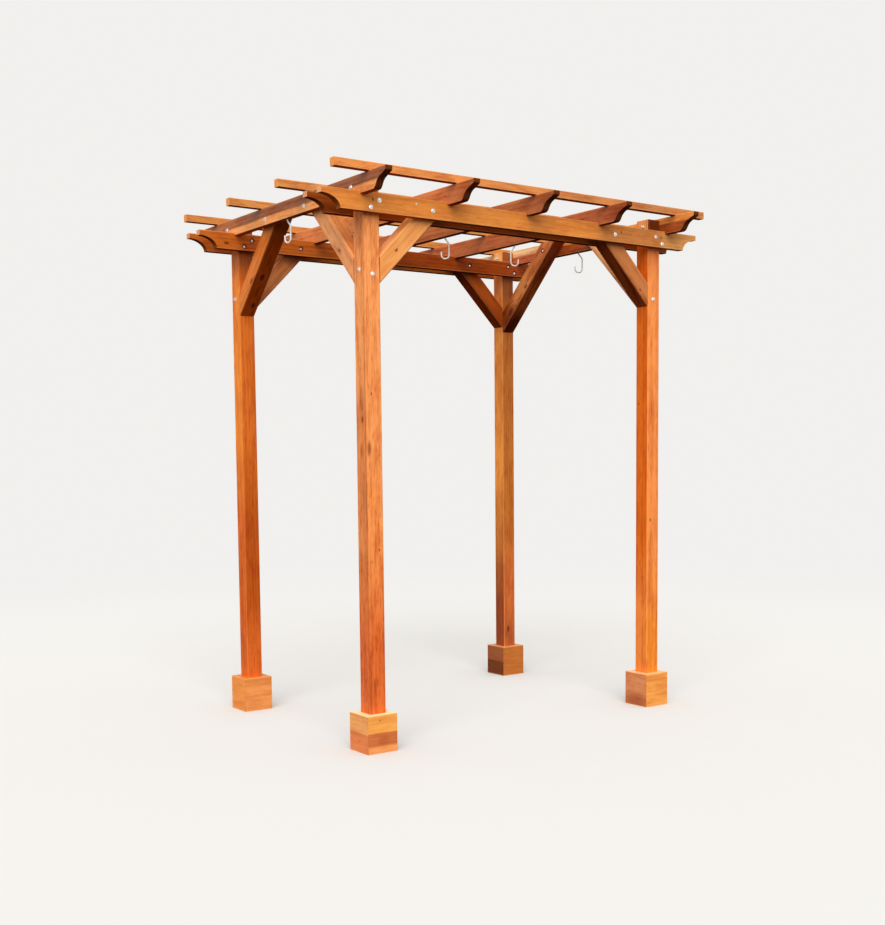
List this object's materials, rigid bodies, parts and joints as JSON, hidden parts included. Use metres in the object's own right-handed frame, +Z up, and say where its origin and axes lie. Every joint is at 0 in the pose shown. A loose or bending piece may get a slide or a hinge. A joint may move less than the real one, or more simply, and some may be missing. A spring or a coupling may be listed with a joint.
{
  "type": "wooden garden pergola",
  "caption": "Open four-post timber garden pergola with paired beams, notched ogee-ended rafters, purlins, knee braces, boxed post feet and hanging hooks.",
  "frame": {"origin": "on the ground, under the middle of the frame", "axes": "+X along the beams to the right, +Y from the front to the back, +Z up"},
  "size_m": [2.4, 1.872, 2.732],
  "materials": {
    "cedar_post": "orange cedar-tone stain, semi-transparent",
    "cedar_trim": "orange cedar-tone stain, pale sapwood over red heartwood",
    "cedar_beam": "orange cedar-tone stain, semi-transparent",
    "cedar_rafter": "orange cedar-tone stain, dark end grain",
    "cedar_purlin": "orange cedar-tone stain, semi-transparent",
    "cedar_brace": "orange cedar-tone stain, semi-transparent",
    "hook_coating": "white dipped vinyl over steel wire",
    "zinc_bolt": "bright zinc plating"
  },
  "bodies": {
    "root": {"post_front_left": "cedar_post", "post_front_right": "cedar_post", "post_back_left": "cedar_post", "post_back_right": "cedar_post", "foot_trim_front_left": "cedar_trim", "foot_trim_front_right": "cedar_trim", "foot_trim_back_left": "cedar_trim", "foot_trim_back_right": "cedar_trim", "beam_front_outer": "cedar_beam", "beam_front_inner": "cedar_beam", "beam_back_outer": "cedar_beam", "beam_back_inner": "cedar_beam", "rafter_1": "cedar_rafter", "rafter_2": "cedar_rafter", "rafter_3": "cedar_rafter", "rafter_4": "cedar_rafter", "rafter_5": "cedar_rafter", "purlin_1": "cedar_purlin", "purlin_2": "cedar_purlin", "purlin_3": "cedar_purlin", "purlin_4": "cedar_purlin", "beam_brace_front_left": "cedar_brace", "beam_brace_front_right": "cedar_brace", "beam_brace_back_left": "cedar_brace", "beam_brace_back_right": "cedar_brace", "rafter_brace_front_left": "cedar_brace", "rafter_brace_front_right": "cedar_brace", "rafter_brace_back_left": "cedar_brace", "rafter_brace_back_right": "cedar_brace", "hook_1": "hook_coating", "hook_2": "hook_coating", "hook_3": "hook_coating", "hook_4": "hook_coating", "hook_5": "hook_coating"}
  },
  "joints": []
}
